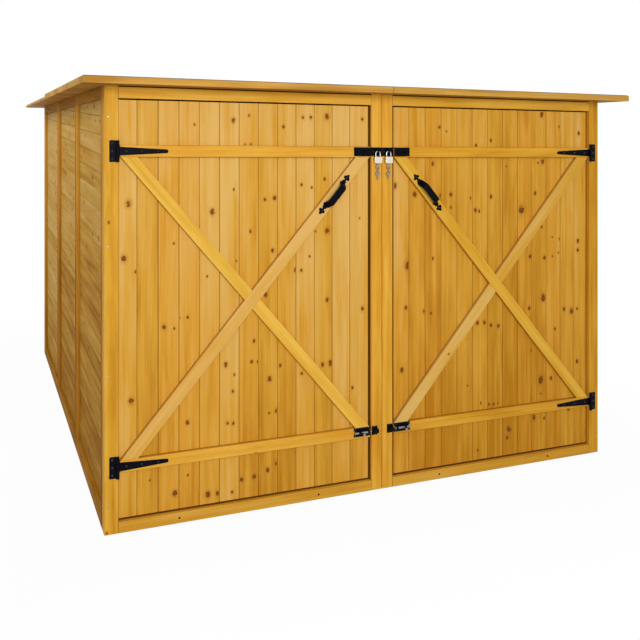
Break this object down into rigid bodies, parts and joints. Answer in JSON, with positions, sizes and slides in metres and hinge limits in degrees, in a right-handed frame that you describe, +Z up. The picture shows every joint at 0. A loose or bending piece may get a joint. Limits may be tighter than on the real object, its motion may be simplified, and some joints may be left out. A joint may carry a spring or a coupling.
{
  "type": "wooden bike shelter",
  "caption": "Closed wooden bike shelter with a pent roof, framed board walls and a pair of outward-opening ledged and braced doors on tee hinges, with hasps and barrel bolts.",
  "frame": {"origin": "on the ground, under the middle of the roof's outline", "axes": "+X to the right as seen from the doors, +Y from the doors to the back, +Z up"},
  "size_m": [2.16, 2.38, 1.4765],
  "materials": {
    "pine_frame": "stained",
    "pine_boards": "stained",
    "roof_felt": "mineral felt",
    "black_iron": "black powder coat",
    "zinc_bolt": "zinc plated",
    "padlock_metal": "nickel plated"
  },
  "bodies": {
    "shelter": {"back_wall_boards": "pine_boards", "back_wall_rails": "pine_frame", "back_wall_stiles": "pine_frame", "bolt_keepers": "black_iron", "front_corner_posts": "pine_frame", "front_middle_posts": "pine_frame", "hasp_staples": "black_iron", "left_hinge_plates": "black_iron", "left_wall_boards": "pine_boards", "left_wall_rails": "pine_frame", "left_wall_stiles": "pine_frame", "lintels": "pine_frame", "padlock_bodies": "padlock_metal", "padlock_keys": "padlock_metal", "padlock_shackles": "padlock_metal", "rear_corner_posts": "pine_frame", "right_hinge_plates": "black_iron", "right_wall_boards": "pine_boards", "right_wall_rails": "pine_frame", "right_wall_stiles": "pine_frame", "roof_front_decks": "pine_frame", "roof_front_felt": "roof_felt", "roof_purlin": "pine_frame", "roof_rafters": "pine_frame", "roof_rear_decks": "pine_frame", "roof_rear_felt": "roof_felt", "sills": "pine_frame"},
    "left_door": {"left_door_boards": "pine_boards", "left_door_rails": "pine_frame", "left_door_long_brace": "pine_frame", "left_door_short_braces": "pine_frame", "left_hinge_straps": "black_iron", "left_door_handle": "black_iron", "left_hasp": "black_iron", "left_bolt_plate": "black_iron"},
    "left_bolt_slide": {"left_bolt": "zinc_bolt"},
    "right_door": {"right_door_boards": "pine_boards", "right_door_rails": "pine_frame", "right_door_long_brace": "pine_frame", "right_door_short_braces": "pine_frame", "right_hinge_straps": "black_iron", "right_door_handle": "black_iron", "right_hasp": "black_iron", "right_bolt_plate": "black_iron"},
    "right_bolt_slide": {"right_bolt": "zinc_bolt"}
  },
  "joints": [
    {"name": "left_door_swing", "type": "hinge", "parent": "shelter", "child": "left_door", "pos_m": [-0.958, -1.1045, 1.236], "axis": [0, 0, -1], "range_deg": [0, 170]},
    {"name": "right_door_swing", "type": "hinge", "parent": "shelter", "child": "right_door", "pos_m": [0.958, -1.1045, 1.236], "axis": [0, 0, 1], "range_deg": [0, 170]},
    {"name": "left_bolt_shot", "type": "slide", "parent": "left_door", "child": "left_bolt_slide", "axis": [1, 0, 0], "range_m": [0, 0.02]},
    {"name": "right_bolt_shot", "type": "slide", "parent": "right_door", "child": "right_bolt_slide", "axis": [-1, 0, 0], "range_m": [0, 0.02]}
  ]
}
